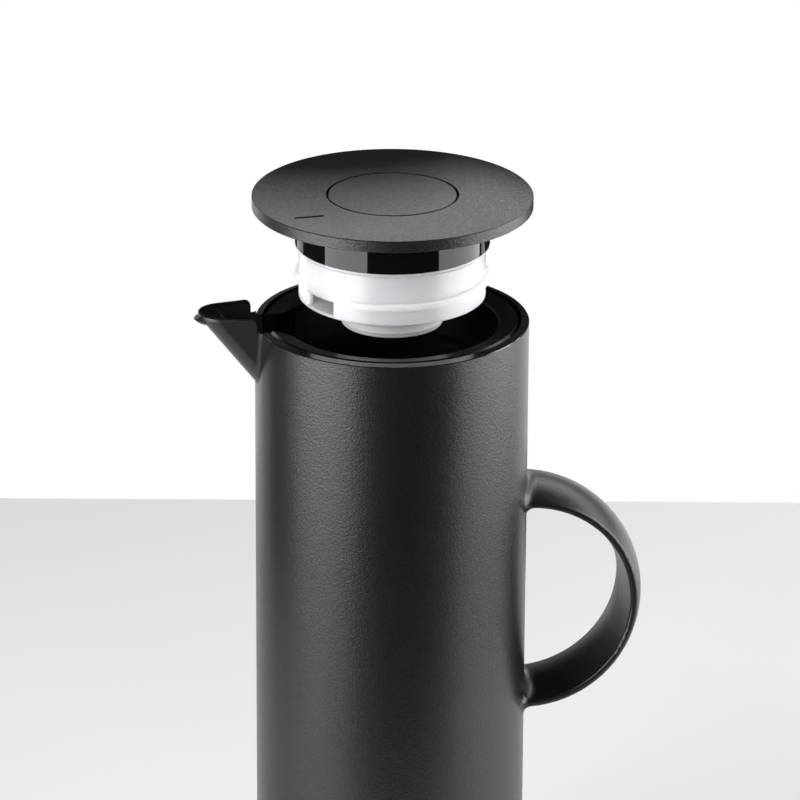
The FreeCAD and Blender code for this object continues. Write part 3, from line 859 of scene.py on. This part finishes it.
@dataclass
class Winding:
    """A round wire, in metres, wound about the jug's axis."""

    name: str
    radius: float
    wire: float
    low: float
    high: float
    turns: int
    sides: int = 12
    steps: int = 32
    smooth_degrees: float = 50.0

    def build(self) -> bpy.types.Object:
        """Winds a circle upwards and closes the wire's two ends.

        Returns:
            The wound piece.
        """
        bpy.ops.object.select_all(action="DESELECT")
        bpy.ops.mesh.primitive_circle_add(vertices=self.sides, radius=self.wire)
        piece = bpy.context.active_object
        piece.name = self.name
        piece.rotation_euler = (UPRIGHT, 0.0, 0.0)
        piece.location = (self.radius, 0.0, self.low + self.wire)
        bpy.ops.object.transform_apply(location=True, rotation=True, scale=True)
        coil = piece.modifiers.new("wound", "SCREW")
        coil.axis = "Z"
        coil.iterations = self.turns
        coil.screw_offset = (self.high - self.low - 2 * self.wire) / self.turns
        coil.steps = self.steps
        coil.render_steps = self.steps
        bpy.ops.object.modifier_apply(modifier=coil.name)
        bpy.ops.object.mode_set(mode="EDIT")
        bpy.ops.mesh.select_all(action="SELECT")
        bpy.ops.mesh.fill_holes(sides=self.sides)
        bpy.ops.mesh.select_all(action="SELECT")
        bpy.ops.mesh.normals_make_consistent(inside=False)
        bpy.ops.object.mode_set(mode="OBJECT")
        bpy.ops.object.shade_smooth_by_angle(angle=math.radians(self.smooth_degrees))
        return piece


@dataclass
class SubAssembly:
    """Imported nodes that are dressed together, and the pieces that stand for some of them.

    Sizes are in millimetres.
    """

    nodes: tuple[str, ...] = ()

    def dress(self, frame: dict, materials: dict[str, bpy.types.Material]) -> None:
        """Gives each node the finish of its material slot.

        Args:
            materials: finished materials by slot.
        """
        slots = {part["node"]: part["material_slot"] for part in frame["record"]["subparts"]}
        for name in self.nodes:
            node = frame["nodes"][name]
            node.data.materials.clear()
            node.data.materials.append(materials[slots[name]])
            LOG.info("node %s dressed as %s", name, slots[name])

    def build(self, materials: dict[str, bpy.types.Material]) -> None:
        """Makes the pieces of its own; a sub-assembly may have none."""

    @staticmethod
    def stand_in(
        piece: bpy.types.Object,
        node: str,
        body: Body,
        slot: str,
        materials: dict[str, bpy.types.Material],
    ) -> None:
        """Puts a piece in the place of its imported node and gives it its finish.

        Args:
            piece: the new piece.
            node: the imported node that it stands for.
            body: the body that it rides on.
            slot: the record's material slot.
            materials: finished materials by slot.
        """
        piece.data.materials.append(materials[slot])
        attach(piece, body.value)
        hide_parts(node)
        LOG.info("piece %s stands for %s", piece.name, node)


@dataclass
class JugBody(SubAssembly):
    """Outer wall with handle and spout, base cap and standing pad."""

    nodes: tuple[str, ...] = ("body_shell", "base_cap", "foot_pad")
    pad_radius: float = 46.9
    pad_top: float = 2.0
    pad_chamfer: float = 0.4
    tread_rings: int = 7
    tread_start: float = 4.0
    tread_step: float = 5.0
    tread_wide: float = 1.6
    tread_deep: float = 0.5
    tread_slope: float = 0.3

    def build(self, materials: dict[str, bpy.types.Material]) -> None:
        """Makes the rubber standing pad with a tread of ring grooves.

        Args:
            materials: finished materials by slot.
        """
        half, floor = self.tread_wide / 2, self.tread_wide / 2 - self.tread_slope
        outline = [(0.0, 0.0)]
        for ring in range(1, self.tread_rings + 1):
            at = ring * self.tread_step + self.tread_start
            outline += [(at - half, 0.0), (at - floor, self.tread_deep)]
            outline += [(at + floor, self.tread_deep), (at + half, 0.0)]
        outline += [(self.pad_radius - self.pad_chamfer, 0.0), (self.pad_radius, self.pad_chamfer)]
        outline += [(self.pad_radius, self.pad_top), (0.0, self.pad_top)]
        pad = Turning("standing_pad", outline).build()
        self.stand_in(pad, "foot_pad", Body.JUG, "rubber_black", materials)


@dataclass
class PouringMouth(SubAssembly):
    """Polished insert with the basin, its throat and the seal on the glass."""

    nodes: tuple[str, ...] = ("pouring_collar", "throat_ring", "collar_seal")


@dataclass
class VacuumLiner(SubAssembly):
    """Silvered double-walled glass flask and the pads that hold it."""

    nodes: tuple[str, ...] = (
        "liner_inner_flask", "liner_outer_flask", "liner_spacers",
        "liner_nib_cap", "shoulder_ring", "liner_cushion",
    )


@dataclass
class StopperLid(SubAssembly):
    """Disc, skirt and white stopper with the ribbed silicone sleeve.

    The sleeve's heights are counted from lid_height, downwards below zero.
    """

    nodes: tuple[str, ...] = (
        "lid_cover", "lid_skirt", "stopper_body", "button_guide", "stem_seal", "neck_seal",
    )
    lid_height: float = 344.3
    bore_radius: float = 15.6
    bore_low: float = -42.6
    bead_radius: float = 19.2
    bead_top: float = -33.25
    bead_low: float = -34.95
    groove_radius: float = 17.42
    sleeve_radius: float = 20.0
    sleeve_top: float = -36.55
    sleeve_low: float = -47.8
    sleeve_chamfer: float = 0.6
    recess_radius: float = 17.0
    recess_top: float = -45.5
    lip_radius: float = 14.0
    lip_top: float = -44.2
    ribs: int = 3
    first_rib: float = -39.2
    rib_step: float = 3.2
    rib_reach: float = 0.62
    rib_half: float = 0.8
    rib_facet: int = 30

    def build(self, materials: dict[str, bpy.types.Material]) -> None:
        """Makes the silicone sleeve with rounded ribs.

        Args:
            materials: finished materials by slot.
        """
        outline = [(self.bore_radius, self.bead_top), (self.bead_radius, self.bead_top)]
        outline += [(self.bead_radius, self.bead_low), (self.groove_radius, self.bead_low)]
        outline += [(self.groove_radius, self.sleeve_top), (self.sleeve_radius, self.sleeve_top)]
        for rib in range(self.ribs):
            outline += self.rib_outline(self.first_rib - rib * self.rib_step)
        outline += [(self.sleeve_radius, self.sleeve_low + self.sleeve_chamfer)]
        outline += [(self.sleeve_radius - self.sleeve_chamfer, self.sleeve_low)]
        outline += [(self.recess_radius, self.sleeve_low), (self.recess_radius, self.recess_top)]
        outline += [(self.lip_radius, self.recess_top), (self.lip_radius, self.lip_top)]
        outline += [(self.bore_radius, self.bore_low)]
        profile = [(radius, height + self.lid_height) for radius, height in outline]
        sleeve = Turning("silicone_sleeve", profile).build()
        self.stand_in(sleeve, "neck_seal", Body.PLUG, "silicone_grey", materials)

    def rib_outline(self, middle: float) -> list[tuple[float, float]]:
        """Half round of one rib, from its upper edge to its lower one.

        Args:
            middle: height of the rib's middle.

        Returns:
            Points of radius and height.
        """
        angles = [math.radians(turn) for turn in range(0, 181, self.rib_facet)]
        reach, half = self.rib_reach, self.rib_half
        return [
            (self.sleeve_radius + reach * math.sin(a), middle + half * math.cos(a)) for a in angles
        ]


@dataclass
class ButtonValve(SubAssembly):
    """Push button, stem, poppet and return spring."""

    nodes: tuple[str, ...] = (
        "push_button", "valve_stem", "stem_clip", "valve_poppet", "valve_seal", "return_spring",
    )
    spring_radius: float = 9.0
    spring_wire: float = 0.46
    spring_turns: int = 5
    travel: float = 4.0

    def build(self, materials: dict[str, bpy.types.Material]) -> None:
        """Winds the return spring, which rides on the button.

        Args:
            materials: finished materials by slot.
        """
        low, high = (corner[2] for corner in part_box("return_spring"))
        radius, wire = self.spring_radius * MM, self.spring_wire * MM
        spring = Winding("wound_spring", radius, wire, low, high, self.spring_turns).build()
        self.stand_in(spring, "return_spring", Body.BUTTON, "steel", materials)
        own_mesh(spring)


def main() -> None:
    """Builds the scene in order."""
    logging.basicConfig(level=logging.INFO, format="%(name)s: %(message)s")
    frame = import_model()
    bpy.ops.object.select_all(action="DESELECT")
    camera = PhotoCamera()
    camera.build()
    Studio(camera.azimuth).build()
    materials = {finish.name: finish.material() for finish in FINISHES}
    for part in (JugBody(), PouringMouth(), VacuumLiner(), StopperLid(), ButtonValve()):
        part.dress(frame, materials)
        part.build(materials)
    bpy.context.scene.view_settings.view_transform = "Standard"


if __name__ == "__main__":
    main()
